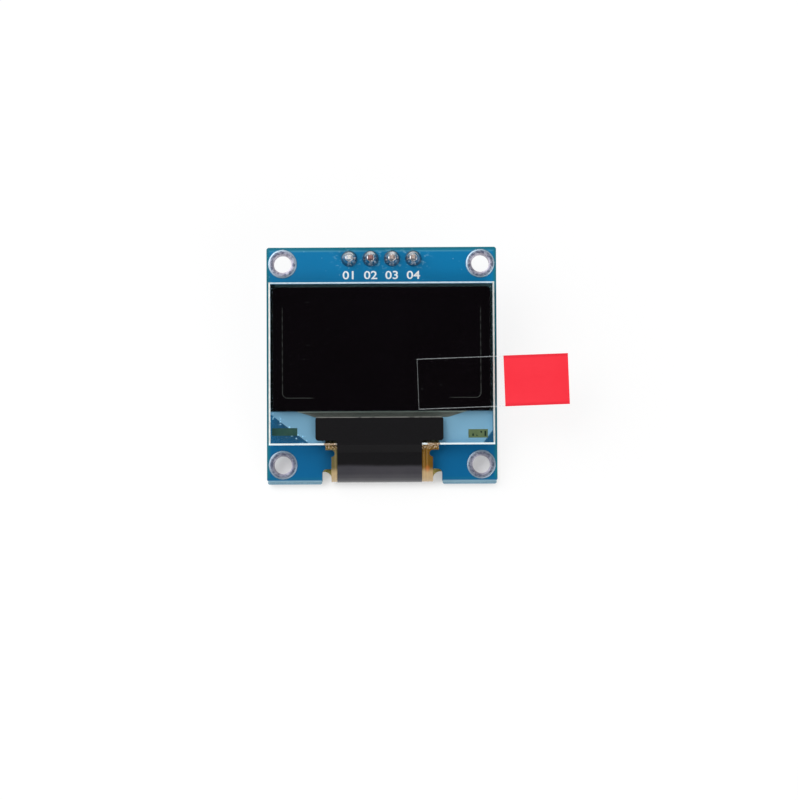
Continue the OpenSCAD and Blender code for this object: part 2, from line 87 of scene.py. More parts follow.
BORE_R = 1.05  # of the plated holes
INK_T = 0.02
TAB_LOW = box("pull_tab_film")[0]
GRIP_LOW, GRIP_HIGH = box("pull_tab_grip")
TAB_W = 6.0
TAB_TILT = math.atan2(GRIP_LOW.y - TAB_LOW.y, GRIP_LOW.x - TAB_LOW.x)


def tone(red, green, blue):
    """A display colour, each channel from 0 to 255, as the linear colour that a shader takes."""

    def linear(value):
        value /= 255
        return value / 12.92 if value <= 0.04045 else ((value + 0.055) / 1.055) ** 2.4

    return (linear(red), linear(green), linear(blue), 1.0)


# Shader maths


class Value:
    """One shader socket, with the arithmetic that masks and heights are written in."""

    def __init__(self, paint, socket):
        self.paint = paint
        self.socket = socket

    def math(self, operation, *others):
        return self.paint.node("Math", [self, *others], operation=operation)

    def __add__(self, other):
        return self.math("ADD", other)

    def __sub__(self, other):
        return self.math("SUBTRACT", other)

    def __rsub__(self, other):
        return self.paint.node("Math", [other, self], operation="SUBTRACT")

    def __mul__(self, other):
        return self.math("MULTIPLY", other)

    def __truediv__(self, other):
        return self.math("DIVIDE", other)

    __radd__ = __add__
    __rmul__ = __mul__

    def abs(self):
        return self.math("ABSOLUTE")

    def root(self):
        return self.math("SQRT")

    def sine(self):
        return self.math("SINE")

    def least(self, other):
        return self.math("MINIMUM", other)

    def most(self, other):
        return self.math("MAXIMUM", other)

    def over(self, edge, soft=0.02):
        """0 below the edge and 1 above it, with a smooth step of the given width."""
        sockets = {"Value": self, "From Min": edge - soft / 2, "From Max": edge + soft / 2}
        return self.paint.node("MapRange", sockets, interpolation_type="SMOOTHSTEP")

    def within(self, low, high, soft=0.02):
        return self.over(low, soft) * (1 - self.over(high, soft))

    def near(self, middle, width, soft=0.02):
        return 1 - (self - middle).abs().over(width / 2, soft)


class Paint:
    """A material under construction, with the point being shaded in millimetres."""

    def __init__(self, name):
        self.material = bpy.data.materials.new(name)
        self.material.use_nodes = True
        self.tree = self.material.node_tree
        self.tree.nodes.clear()
        place = self.node("TexCoord", out="Object")
        self.point = self.node("VectorMath", {"Vector": place, "Scale": 1 / MM}, operation="SCALE")
        self.x, self.y, self.z = self.split(self.point)
        facing = self.node("NewGeometry", out="True Normal")
        self.facing = self.split(facing)[2]

    def node(self, kind, sockets=(), out=0, stops=(), **settings):
        made = self.tree.nodes.new("ShaderNode" + kind)
        for key, value in settings.items():
            setattr(made, key, value)
        if stops:
            ramp = made.color_ramp.elements
            while len(ramp) < len(stops):
                ramp.new(1)
            for element, (position, colour) in zip(ramp, stops):
                element.position, element.color = position, colour
        pairs = sockets.items() if isinstance(sockets, dict) else enumerate(sockets)
        for key, value in pairs:
            if isinstance(value, Value):
                self.tree.links.new(value.socket, made.inputs[key])
            else:
                made.inputs[key].default_value = value
        return Value(self, made.outputs[out])

    def split(self, vector):
        first = self.node("SeparateXYZ", [vector])
        return [Value(self, socket) for socket in first.socket.node.outputs]

    def noise(self, scale, detail=2.0, stretch=(1, 1, 1), shift=(0, 0, 0)):
        """Cloudy noise from 0 to 1, with about the given number of clouds to a millimetre."""
        place = self.node("Mapping", [self.point, shift, (0, 0, 0), stretch])
        return self.node("TexNoise", {"Vector": place, "Scale": scale, "Detail": detail})

    def spots(self, scale, radius):
        """Round spots, one in each cell of a scattered pattern: 1 inside, 0 outside."""
        cells = {"Vector": self.point, "Scale": scale}
        distance = self.node("TexVoronoi", cells, out="Distance")
        return 1 - distance.over(radius, radius)

    def mix(self, factor, first, second):
        return self.node("Mix", {0: factor, 6: first, 7: second}, out=2, data_type="RGBA")

    def blend(self, factor, first, second):
        return self.node("MixShader", [factor, first, second])

    def relief(self, height):
        """A normal bumped by a height in millimetres."""
        return self.node("Bump", {"Height": height, "Distance": MM, "Strength": 1.0})

    def gloss(self, colour, roughness=0.4, **more):
        names = {"metallic": "Metallic", "normal": "Normal", "level": "Specular IOR Level",
                 "coat": "Coat Weight"}
        sockets = {"Base Color": colour, "Roughness": roughness}
        sockets.update({names[key]: value for key, value in more.items()})
        return self.node("BsdfPrincipled", sockets)

    def sheen(self, index):
        """How much a clear sheet reflects, the same from inside as from outside."""
        inside = self.node("NewGeometry", out="Backfacing")
        return self.node("Fresnel", {"IOR": inside * (1 / index - index) + index})

    def clear(self, tint=(1, 1, 1, 1)):
        return self.node("BsdfTransparent", [tint])

    def done(self, shader):
        output = self.tree.nodes.new("ShaderNodeOutputMaterial")
        self.tree.links.new(shader.socket, output.inputs["Surface"])
        return self.material


# Finishes


def solder_mask():
    """Blue mask on both faces, and bare glass-fibre board at the cut edges."""
    paint = Paint("solder_mask")
    half_w, half_h = BOARD_HIGH.x, BOARD_HIGH.y
    edge = (half_w - paint.x.abs()).least(half_h - paint.y.abs())
    cloud = paint.noise(0.12, 3)
    blue = paint.mix(cloud, tone(3, 110, 160), tone(8, 124, 176))
    # painted shade: the mask is darker towards the bottom of the board
    blue = paint.mix(1 - paint.y.over(-4.0, 16.0), blue, tone(6, 96, 145))
    blue = paint.mix(paint.y.near(half_h - 0.42, 0.2, 0.16) * 0.45, blue, tone(92, 168, 196))
    blue = paint.mix(1 - edge.over(0.34, 0.5), blue, tone(24, 112, 130))
    lip = 1 - (paint.y + half_h).over(0.34, 0.5)
    blue = paint.mix(lip, blue, tone(16, 96, 142))
    blue = paint.mix(1 - (paint.y + half_h).over(0.12, 0.1), blue, tone(120, 156, 178))
    flecks = paint.spots(1.6, 0.09) * paint.noise(0.5, 2, shift=(1, 4, 0)).over(0.5, 0.08)
    flecks = flecks * paint.y.over(half_h - 3.9, 0.3)
    blue = paint.mix(flecks * 0.6, blue, tone(130, 190, 216))
    row = paint.y.near(PINS[0].y, 2.2, 0.8) * (1 - paint.x.abs().over(5.6, 1.6))
    smear = paint.noise(1.7, 4, (1, 1.6, 1), (0, 5, 0)).over(0.6, 0.1) * row
    blue = paint.mix(smear * 0.3, blue, tone(140, 200, 222))
    weave = paint.noise(3.0, 4, (1, 1, 9))
    fibre = paint.mix(weave, tone(120, 138, 128), tone(190, 196, 170))
    rim = paint.z.near(BOARD_HIGH.z, 0.12, 0.05).most(paint.z.near(BOARD_LOW.z, 0.12, 0.05))
    fibre = paint.mix(rim, fibre, tone(24, 92, 120))
    flat = paint.facing.abs().over(0.5, 0.1)
    peel = paint.noise(1.4, 3) * 0.012
    colour = paint.mix(flat, fibre, blue)
    roughness = 0.7 - flat * 0.42
    return paint.done(paint.gloss(colour, roughness, normal=paint.relief(peel), level=0.4))


def tinned_ring():
    """Solder wetted over a ring of copper: a bright rim round a dull, mottled slope."""
    paint = Paint("tinned_ring")
    across = paint.x.abs() - HOLE.x
    along = paint.y.abs() - HOLE.y
    radius = (across * across + along * along).root()
    rim = radius.near(RING_R - 0.1, 0.12, 0.08)
    lip = 1 - radius.over(1.2, 0.14)
    mottle = paint.noise(3.6, 5)
    grey = paint.mix(mottle.over(0.5, 0.3), tone(112, 118, 142), tone(184, 186, 202))
    colour = paint.mix(rim, grey, tone(178, 204, 218))
    colour = paint.mix(lip * 0.6, colour, tone(196, 186, 196))
    # painted shade: the rings on the board's lower half are darker
    colour = paint.mix((1 - paint.y.over(0, 1)) * 0.4, colour, tone(96, 104, 122))
    slope = (radius - BORE_R) / (RING_R - BORE_R)
    crown = (1 - (slope * 2 - 1) * (slope * 2 - 1)) * 0.07
    height = crown + mottle * 0.03
    roughness = 0.42 + mottle * 0.2
    shader = paint.gloss(colour, roughness, metallic=1.0, normal=paint.relief(height))
    return paint.done(shader)


def bright_solder():
    """Bright metal, with painted shade where the foot of each cone meets the board."""
    paint = Paint("solder")
    mottle = paint.noise(2.4, 4)
    colour = paint.mix(mottle, tone(150, 152, 160), tone(246, 246, 247))
    # painted shade round the foot of each cone
    foot_shade = paint.z.within(BOARD_HIGH.z + 0.04, BOARD_HIGH.z + 0.5, 0.16)
    colour = paint.mix(foot_shade * 0.55, colour, tone(88, 92, 100))
    normal = paint.relief(mottle * 0.07)
    return paint.done(paint.gloss(colour, 0.12 + mottle * 0.14, metallic=1.0, normal=normal))


def gilt_pin():
    """Gold flash on the pin's sides and bare copper alloy on its cut front end."""
    paint = Paint("gilt_pin")
    grain = paint.noise(2.0, 3, (6, 6, 1))
    gold = paint.mix(grain, tone(196, 160, 92), tone(244, 214, 150))
    tip = paint.z.over(BOARD_HIGH.z + 1.2, 0.2)
    copper = paint.mix(grain, tone(168, 146, 138), tone(232, 216, 210))
    red = paint.x.near(PINS[1].x, 1.2, 0.1)
    copper = paint.mix(red, copper, paint.mix(grain, tone(140, 94, 96), tone(196, 144, 144)))
    pale = 1 - paint.x.over(PINS[0].x + 1, 0.1)
    copper = paint.mix(pale, copper, tone(246, 246, 246))
    colour = paint.mix(tip * 0.95, gold, copper)
    roughness = 0.22 + grain * 0.15 + tip * 0.2
    shader = paint.gloss(colour, roughness, metallic=1.0, normal=paint.relief(grain * 0.01))
    return paint.done(shader)


def moulded_black(name, shade, grain):
    paint = Paint(name)
    speck = paint.noise(grain, 4)
    dark, light = tone(shade, shade, shade + 1), tone(shade + 14, shade + 14, shade + 16)
    colour = paint.mix(speck, dark, light)
    return paint.done(paint.gloss(colour, 0.42 + speck * 0.15, normal=paint.relief(speck * 0.015)))


def foam():
    paint = Paint("foam")
    cells = paint.noise(7.0, 3)
    colour = paint.mix(cells, tone(206, 206, 202), tone(246, 246, 242))
    return paint.done(paint.gloss(colour, 0.9, normal=paint.relief(cells * 0.05)))


def ledge_haze(paint):
    """How pale the back of the ledge is. Its lower corners and its fan of traces stay clear."""
    fall = LEDGE_TOP - 0.3 - paint.y
    left_edge = GLASS_LOW.x + 0.15 + fall * 1.3
    right_edge = GLASS_HIGH.x - 0.25 - (fall - 2.0).most(0) * 0.75
    inside = (paint.x - left_edge).over(0, 0.12) * (right_edge - paint.x).over(0, 0.3)
    fan_edge = FAN_W / 2 + (paint.y - FAN_LOW) * FAN_SLOPE
    fan = paint.y.over(FAN_LOW, 0.08) * (fan_edge - paint.x.abs()).over(0, 0.1)
    ledge = 1 - paint.y.over(LEDGE_TOP - 0.05, 0.1)
    cloud = paint.noise(0.35, 2)
    brighter = paint.x.over(0, 26)
    strength = 0.54 + brighter * 0.06 + (cloud - 0.5) * 0.12
    bubbles = paint.spots(2.6, 0.27) * (paint.x - left_edge).near(-0.7, 2.4, 0.8)
    bubbles = bubbles * paint.noise(1.3, 2, shift=(3, 1, 0)).over(0.45, 0.08)
    return ((inside * strength + 0.05) * (1 - fan) + bubbles * 0.8).least(1) * ledge


def clear_glass():
    """Polished glass with ground edges that catch the light."""
    paint = Paint("clear_glass")
    shine = paint.sheen(1.5)
    mirror = paint.node("BsdfGlossy", {"Color": (1, 1, 1, 1), "Roughness": 0.02})
    body = paint.blend(shine, paint.clear(tone(236, 246, 246)), mirror)
    milk = paint.node("BsdfDiffuse", {"Color": tone(178, 223, 255)})
    lower = 1 - paint.z.over(GLASS_LOW.z + 0.05, 0.02)
    body = paint.blend(ledge_haze(paint) * lower, body, milk)
    ground = 1 - paint.facing.abs().over(0.95, 0.02)
    chips = paint.noise(2.2, 4)
    frost = paint.mix(chips, tone(176, 208, 224), tone(240, 252, 255))
    warm = paint.x.abs().over(GLASS_HIGH.x - 0.25, 0.05)
    frost = paint.mix(warm, frost, paint.mix(chips, tone(214, 216, 208), tone(255, 255, 248)))
    # painted highlight: the bottom ground edge is painted near white and more frosted
    foot = 1 - paint.y.over(GLASS_LOW.y + 0.25, 0.05)
    frost = paint.mix(foot, frost, paint.mix(chips, tone(226, 250, 255), tone(255, 255, 255)))
    frost = paint.gloss(frost, 0.3)
    # painted light: the ribbon's amber and its glints, as seen through the ground bottom edge,
    # painted onto that edge
    over_ribbon = paint.x.abs().near(6.1, 1.5, 0.2) * (1 - paint.y.over(0, 1))
    ribbon_seen_through = paint.noise(6.0, 3, (1, 2, 1))
    ribbon_seen_through = paint.node("ValToRGB", {"Fac": ribbon_seen_through}, stops=(
        (0.38, tone(66, 50, 28)), (0.5, tone(168, 130, 70)), (0.62, tone(228, 214, 200))))
    frost = paint.blend(over_ribbon, frost, paint.gloss(ribbon_seen_through, 0.4))
    return paint.done(paint.blend(ground * (0.7 + chips * 0.28 + foot * 0.2).least(1), body, frost))


def etched_glass():
    paint = Paint("etched_glass")
    grain = paint.noise(6.0, 3)
    colour = paint.mix(grain, tone(116, 132, 132), tone(168, 184, 182))
    frost = paint.gloss(colour, 0.35, normal=paint.relief(grain * 0.006))
    return paint.done(paint.blend(0.82, paint.clear(tone(226, 240, 236)), frost))


def drying_sheet():
    paint = Paint("drying_sheet")
    chalk = paint.noise(3.0, 4)
    colour = paint.mix(chalk, tone(206, 204, 194), tone(232, 230, 222))
    return paint.done(paint.gloss(colour, 0.85, normal=paint.relief(chalk * 0.02)))


def cured_seal():
    paint = Paint("cured_seal")
    grain = paint.noise(4.0, 2)
    return paint.done(paint.gloss(paint.mix(grain, tone(96, 94, 74), tone(140, 136, 110)), 0.4))


def electrode_film():
    """Dark layers behind the glass, with fine traces running down the fan to the driver."""
    paint = Paint("electrode_film")
    fan = 1 - paint.y.over(LEDGE_TOP, 0.04)
    meeting, trace_rate = 9.0, 420  # how far below the ledge's top the lines would meet
    spread = paint.x / (paint.y - LEDGE_TOP + meeting)
    traces = (spread * trace_rate).sine() * 0.5 + 0.5
    cloud = paint.noise(0.3, 2)
    left = 1 - paint.x.over(CAP_LOW.x + 0.55, 0.2)
    rim = paint.mix(cloud, tone(60, 78, 84), tone(96, 112, 116))
    rim = paint.mix(left * 0.9, rim, tone(16, 26, 32))
    specks = paint.noise(5.0, 3).over(0.62, 0.06) * paint.x.abs().over(POLAR_HIGH.x, 0.1)
    rim = paint.mix(specks, rim, tone(150, 164, 184))
    lines = paint.mix(traces, tone(116, 106, 102), tone(152, 140, 132))
    # painted highlight: a pale line along the top of the fan, just below the polariser
    lines = paint.mix(paint.y.near(LEDGE_TOP - 0.1, 0.1, 0.08) * 0.7, lines, tone(226, 222, 212))
    colour = paint.mix(fan, rim, lines)
    return paint.done(paint.gloss(colour, 0.3, level=0.3))


def black_polariser():
    """Deep black, with the faint outline of the lit area and its corners."""
    paint = Paint("black_polariser")
    half_w, low, corner, line = 11.7, -4.1, 0.6, 0.11
    beyond = ((paint.x.abs() - (half_w - corner)).most(0), (low + corner - paint.y).most(0))
    outline = (beyond[0] * beyond[0] + beyond[1] * beyond[1]).root().near(corner, line, 0.05)
    short = (paint.x.abs() - 8.2).over(0, 0.8)
    tall = 1 - paint.y.over(6.4, 1.6)
    dots = (paint.y * 6.3).sine().over(-0.3, 0.8).most(1 - paint.y.over(-2.6, 0.6))
    mark = outline * short * tall * (0.3 + dots * 0.7)
    cloud = paint.noise(0.18, 3)
    deep = paint.mix(cloud, (0.0020, 0.0014, 0.0020, 1), (0.0034, 0.0026, 0.0036, 1))
    colour = paint.mix(mark, deep, (0.03, 0.034, 0.032, 1))
    return paint.done(paint.gloss(colour, 0.12, level=0.25))


def thin_film(name, tab=False):
    """Clear plastic film with fine scratches, dust and a pale cut edge."""
    paint = Paint(name)
    scratch = paint.noise(0.7, 3, (2, 9, 1)).over(0.74, 0.03) * 0.03
    dust = paint.spots(0.8, 0.025) * paint.noise(0.6, 1).over(0.64, 0.05)
    veil = scratch + dust * 0.25
    if tab:
        veil = veil + dust * 0.4 + tab_rim(paint) * 0.3
    side = 1 - paint.facing.abs().over(0.5, 0.1)
    mirror = paint.node("BsdfGlossy", {"Color": (1, 1, 1, 1), "Roughness": 0.06})
    milk = paint.node("BsdfDiffuse", {"Color": tone(222, 230, 232)})
    shine = paint.sheen(1.35)
    body = paint.blend(shine * (0.2 if tab else 0.5), paint.clear(tone(255, 254, 254)), mirror)
    return paint.done(paint.blend((veil + side * 0.3).least(1), body, milk))


def tab_place(paint):
    """Distance from the point to the pull tab's middle line, and along it from its outer end."""
    middle_y = (GRIP_LOW.y + GRIP_HIGH.y) / 2
    middle_x = (GRIP_LOW.x + GRIP_HIGH.x) / 2
    turn = (math.cos(TAB_TILT), math.sin(TAB_TILT))
    along = (paint.x - middle_x) * turn[0] + (paint.y - middle_y) * turn[1]
    across = (paint.y - middle_y) * turn[0] - (paint.x - middle_x) * turn[1]
    return along, across


def tab_rim(paint):
    along, across = tab_place(paint)
    inner = (TAB_LOW.x - (GRIP_LOW.x + GRIP_HIGH.x) / 2) / math.cos(TAB_TILT) + 0.1
    ends = along.near(inner, 0.06, 0.06)
    sides = across.abs().near(TAB_W / 2 - 0.05, 0.07, 0.06)
    ragged = 0.35 + paint.noise(2.6, 3) * 1.1
    return sides.most(ends) * ragged


def red_grip():
    """Red film, a little deeper along its cut edges."""
    paint = Paint("red_grip")
    along, across = tab_place(paint)
    rim = across.abs().over(TAB_W / 2 - 0.3, 0.3)
    cloud = paint.noise(0.25, 3)
    red = paint.mix(cloud, tone(244, 44, 60), tone(252, 58, 72))
    red = paint.mix(rim * 0.5, red, tone(222, 34, 52))
    crease = paint.noise(0.5, 2, (1, 5, 1))
    return paint.done(paint.gloss(red, 0.36, normal=paint.relief(crease * 0.02), level=0.3))


def polished_silicon():
    paint = Paint("polished_silicon")
    cloud = paint.noise(2.0, 2)
    return paint.done(paint.gloss(paint.mix(cloud, tone(60, 62, 70), tone(92, 94, 102)), 0.2))


def amber_ribbon():
    """Amber film over copper traces, which run down the neck and fan out over the tail."""
    paint = Paint("amber_ribbon")
    neck_half, tail_half = 5.6, RIBBON_HIGH.x - 0.6
    opening = (paint.y - RIBBON_LOW.y - 1.4).most(0).least(2.2) / 2.2
    behind = 1 - paint.z.over(0.5, 0.2)
    width = opening * behind * (tail_half - neck_half) + neck_half
    trace_rate = 94.0  # about one trace for each contact
    traces = (paint.x / width * trace_rate).sine().over(0.1, 0.5)
    inside = 1 - (paint.x.abs() / width).over(1.0, 0.02)
    cloud = paint.noise(0.8, 3)
    pale = 1 - paint.x.over(0, 2)
    film = paint.mix(cloud, tone(92, 66, 14), tone(118, 84, 26))
    film = paint.mix(pale * 0.55, film, tone(100, 106, 76))
    copper = paint.mix(cloud, tone(118, 84, 28), tone(144, 106, 46))
    copper = paint.mix(pale * 0.55, copper, tone(116, 118, 90))
    colour = paint.mix(traces * inside, film, copper)
    speckle = paint.noise(5.0, 3)
    speckle = paint.node("ValToRGB", {"Fac": speckle}, stops=(
        (0.38, tone(60, 52, 40)), (0.5, tone(176, 136, 70)), (0.62, tone(226, 214, 196))))
    front = paint.z.over(0.9, 0.3)
    colour = paint.mix(paint.y.over(GLASS_LOW.y - 0.45, 0.3) * front * 0.7, colour, speckle)
    # painted light: the shoulders down in the notch are painted much brighter than their shade
    painted_light_shoulder = paint.x.abs().near(6.6, 1.1, 0.1) * (1 - paint.y.over(FOLD_Y + 0.2, 0.3))
    colour = paint.mix(painted_light_shoulder * (1 - front) * 0.9, colour, tone(252, 232, 140))
    # painted highlight: the ribbon's front is paler towards the bend
    bend_highlight = (1 - paint.y.over(FOLD_Y - 0.15, 0.8)) * front
    colour = paint.mix(bend_highlight * 0.55, colour, tone(226, 196, 150))
    # painted reflection: a small orange-red spot near the bend
    across, along = paint.x - 5.35, (paint.y - FOLD_Y) * 0.7
    red_reflection = 1 - (across * across + along * along).root().over(0.25, 0.3)
    colour = paint.mix(red_reflection * front * 0.4, colour, tone(204, 106, 48))
    normal = paint.relief(traces * inside * 0.008 + cloud * 0.03)
    return paint.done(paint.gloss(colour, 0.26, normal=normal, coat=0.4))


def black_tape():
    paint = Paint("black_tape")
    grain = paint.noise(5.0, 3)
    wave = paint.noise(0.3, 2)
    colour = paint.mix(grain, tone(18, 18, 19), tone(27, 26, 28))
    # painted highlight: the tape is painted grey over the bend; the coat there adds shine
    bend = 1 - (paint.y + wave * 0.3).over(FOLD_Y + 0.5, 0.5)
    colour = paint.mix(bend, colour, paint.mix(wave, tone(56, 56, 62), tone(72, 70, 74)))
    lit_edge = paint.y.over(TAPE_HIGH.y - 0.1, 0.06) * paint.noise(1.5, 2).over(0.4, 0.2)
    colour = paint.mix(lit_edge, colour, tone(120, 120, 116))
    normal = paint.relief(grain * 0.003 + wave * 0.03)
    roughness = 0.3 + grain * 0.06
    return paint.done(paint.gloss(colour, roughness, normal=normal, level=0.12, coat=bend * 0.8))


def chip_finish(name, body_low, body_high, roughness):
    """A chip's body, between tinned ends that start where its waist stops."""
    paint = Paint(name)
    off = (paint.y - LOW_ROW.y).abs().least((paint.y - HIGH_ROW.y).abs())
    end = off.over(CHIP_WAIST, 0.01)
    grain = paint.noise(4.0, 4)
    body = paint.mix(grain, body_low, body_high)
    tin = paint.mix(grain, tone(170, 172, 178), tone(228, 228, 232))
    normal = paint.relief(grain * 0.012)
    colour = paint.mix(end, body, tin)
    return paint.done(paint.gloss(colour, roughness - end * 0.1, metallic=end, normal=normal))


def lead_tin():
    paint = Paint("lead_tin")
    grain = paint.noise(3.0, 3)
    colour = paint.mix(grain, tone(160, 162, 168), tone(214, 214, 220))
    return paint.done(paint.gloss(colour, 0.3, metallic=1.0, normal=paint.relief(grain * 0.01)))


def white_ink():
    paint = Paint("white_ink")
    patchy = paint.noise(3.5, 3)
    colour = paint.mix(patchy, tone(232, 240, 244), tone(253, 255, 255))
    return paint.done(paint.gloss(colour, 0.55))


def gilt_pad():
    paint = Paint("gilt_pad")
    grain = paint.noise(2.0, 3)
    colour = paint.mix(grain, tone(190, 188, 176), tone(232, 226, 206))
    return paint.done(paint.gloss(colour, 0.3, metallic=1.0, normal=paint.relief(grain * 0.01)))


def covered_copper():
    """Mask over copper: a lighter blue than over bare board."""
    paint = Paint("covered_copper")
    cloud = paint.noise(0.6, 3)
    colour = paint.mix(cloud, tone(16, 122, 176), tone(30, 140, 192))
    return paint.done(paint.gloss(colour, 0.26, normal=paint.relief(cloud * 0.01)))


def olive_mark():
    """Etched metal on the ledge: a field of fine dark bars."""
    paint = Paint("olive_mark")
    right = paint.x.over(0, 1)
    bars = (paint.x * 13).sine().over(0.2, 0.4) * right
    bars = bars * paint.y.near(MARK_Y, 0.6, 0.06) * paint.noise(1.1, 1).over(0.42, 0.1)
    cloud = paint.noise(1.0, 2)
    field = paint.mix(cloud, tone(96, 108, 72), tone(130, 138, 98))
    field = paint.mix(right, paint.mix(cloud, tone(30, 70, 66), tone(64, 92, 80)), field)
    return paint.done(paint.gloss(paint.mix(bars, field, tone(30, 46, 34)), 0.4, level=0.3))


def torn_edge():
    """Broken board: pale glass fibre with some blue left on it."""
    paint = Paint("torn_edge")
    fibre = paint.noise(3.0, 4, (3, 1, 1))
    colour = paint.mix(fibre, tone(84, 128, 154), tone(134, 168, 186))
    colour = paint.mix(paint.y.over(BOARD_LOW.y - 0.08, 0.06), colour, tone(168, 208, 224))
    return paint.done(paint.gloss(colour, 0.7, normal=paint.relief(fibre * 0.04)))


SOLDER = bright_solder()
FINISHES = {
    "board": solder_mask(),
    "tinned_ring": tinned_ring(),
    "header_plastic": moulded_black("header_plastic", 22, 3.0),
    "pin_metal": gilt_pin(),
    "solder": SOLDER,
    "foam": foam(),
    "glass": clear_glass(),
    "drying_sheet": drying_sheet(),
    "seal": cured_seal(),
    "electrodes": electrode_film(),
    "polariser": black_polariser(),
    "clear_film": thin_film("clear_film"),
    "red_grip": red_grip(),
    "silicon": polished_silicon(),
    "polyimide": amber_ribbon(),
    "black_tape": black_tape(),
    "regulator_resin": moulded_black("regulator_resin", 26, 6.0),
    "lead_metal": lead_tin(),
    "capacitor": chip_finish("capacitor", tone(140, 104, 68), tone(176, 138, 98), 0.45),
    "resistor": chip_finish("resistor", tone(18, 18, 22), tone(40, 40, 46), 0.4),
}
OWN_FINISH = {
    "cap_glass": etched_glass(),
    "pull_tab_film": thin_film("tab_film", tab=True),
}
for part in frame["record"]["subparts"]:
    finish = OWN_FINISH.get(part["node"], FINISHES[part["material_slot"]])
    frame["nodes"][part["node"]].material_slots[0].material = finish


# Pieces made here


def mesh_object(name, shape, material, smooth=False):
    """Turns a bmesh drawn in millimetres into an object in the scene."""
    bmesh.ops.transform(shape, matrix=Matrix.Scale(MM, 4), verts=shape.verts)
    mesh = bpy.data.meshes.new(name)
    for face in shape.faces:
        face.smooth = smooth
    shape.to_mesh(mesh)
    shape.free()
    mesh.materials.append(material)
    made = bpy.data.objects.new(name, mesh)
    bpy.context.scene.collection.objects.link(made)
    return made


def piece(name, shape, material, smooth=False):
    """A mesh object that rides on the module."""
    made = mesh_object(name, shape, material, smooth)
    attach(made, "root")
    return made


def slab(shape, low, high):
    """Adds a flat box between two corners."""
    low, high = Vector(low), Vector(high)
    matrix = Matrix.Translation((low + high) / 2) @ Matrix.Diagonal((high - low).to_4d())
    bmesh.ops.create_cube(shape, size=1, matrix=matrix)


def solder_cone(index, pin):
    """Solder drawn up a pin, with a full foot and a hollow waist, a little uneven all round."""
    low, high = box(f"solder_joint_{index}")
    foot, height = (high.x - low.x) / 2, high.z - BOARD_HIGH.z
    barrel = 0.5
    profile = [(0.12, 0.0), (barrel, 0.0), (barrel, BOARD_HIGH.z)]
    profile += [
        (foot * share, BOARD_HIGH.z + height * rise)
        for share, rise in (
            (1.0, 0.0), (0.985, 0.07), (0.93, 0.2), (0.83, 0.36), (0.7, 0.53),
            (0.58, 0.7), (0.5, 0.85), (0.44, 0.96), (0.36, 1.0), (0.12, 0.98),
        )
    ]
    shape = bmesh.new()
    rim = [shape.verts.new((radius, 0, z)) for radius, z in profile]
    edges = [shape.edges.new(pair) for pair in zip(rim, rim[1:])]
    bmesh.ops.spin(
        shape, geom=rim + edges, cent=(0, 0, 0), axis=UP, angle=math.tau, steps=40, use_merge=True
    )
    bmesh.ops.remove_doubles(shape, verts=shape.verts, dist=1e-5)
    for vert in shape.verts:
        angle = math.atan2(vert.co.y, vert.co.x)
        rise = max(0.0, (vert.co.z - BOARD_HIGH.z) / height)
        sway = 0.05 * math.sin(2 * angle + index * 2.1) + 0.035 * math.sin(3 * angle - index)
        swell = 1 + sway * math.sin(math.pi * rise)
        vert.co.x *= swell
        vert.co.y *= swell
    bmesh.ops.recalc_face_normals(shape, faces=shape.faces)
    bmesh.ops.translate(shape, vec=(pin.x, pin.y, 0), verts=shape.verts)
    made = piece(f"solder_cone_{index}", shape, SOLDER, smooth=True)
    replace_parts(made, f"solder_joint_{index}")


for number, pin in enumerate(PINS, 1):
    solder_cone(number, pin)


def written(text, size, place, wide=1.0, back=False):
    """A line of figures as a thin raised mesh, centred on its place and stretched sideways."""
    curve = bpy.data.curves.new("figures", "FONT")
    curve.body = text
    curve.size = size
    curve.align_x, curve.align_y = "CENTER", "CENTER"
    curve.extrude = INK_T / 2
    curve.offset = size * 0.014
    curve.resolution_u = 4
    source = bpy.data.objects.new("figures", curve)
    mesh = bpy.data.meshes.new_from_object(source)
    turn = Matrix.Rotation(math.pi, 4, "Y") if back else Matrix.Identity(4)
    mesh.transform(Matrix.Translation(place) @ turn @ Matrix.Diagonal((wide, 1, 1, 1)))
    shape = bmesh.new()
    shape.from_mesh(mesh)
    bmesh.ops.remove_doubles(shape, verts=shape.verts, dist=1e-4)
    bpy.data.objects.remove(source)
    bpy.data.curves.remove(curve)
    bpy.data.meshes.remove(mesh)
    return shape


def join(shapes):
    """One bmesh from several."""
    whole = bmesh.new()
    for part in shapes:
        mesh = bpy.data.meshes.new("joined")
        part.to_mesh(mesh)
        part.free()
        whole.from_mesh(mesh)
        bpy.data.meshes.remove(mesh)
    return whole


INK = white_ink()
FRONT_INK = BOARD_HIGH.z + INK_T / 2
figures = [
    written(f"0{i}", 1.36, (pin.x, pin.y - 2.02, FRONT_INK), 1.2) for i, pin in enumerate(PINS, 1)
]
piece("pin_figures", join(figures), INK)


def frame_line(shape, low, high, width, z):
    """Four printed strokes round a rectangle."""
    half, ink = width / 2, INK_T
    for y in (low[1], high[1]):
        slab(shape, (low[0] - half, y - half, z - ink), (high[0] + half, y + half, z))
    for x in (low[0], high[0]):
        slab(shape, (x - half, low[1] + half, z - ink), (x + half, high[1] - half, z))


def back_print():
    """Outlines printed round the parts behind the board, and the pin figures."""
    shape = bmesh.new()
    z = BOARD_LOW.z
    low, high = (HEADER_LOW.x - 0.3, HEADER_LOW.y - 0.3), (HEADER_HIGH.x + 0.3, 13.4)
    frame_line(shape, low, high, 0.12, z)
    low, high = box("regulator_body")
    frame_line(shape, (low.x - 0.2, low.y - 0.15), (high.x + 0.2, high.y + 0.15), 0.1, z)
    for low, high in CHIPS:
        for x in (low.x - 0.28, high.x + 0.28):
            slab(shape, (x - 0.05, low.y - 0.2, z - INK_T), (x + 0.05, high.y + 0.2, z))
    labels = [
        written(str(i), 1.3, (pin.x - 0.85, HEADER_LOW.y - 1.2, z - INK_T / 2), back=True)
        for i, pin in enumerate(PINS, 1)
    ]
    return join([shape, *labels])


piece("back_print", back_print(), INK)


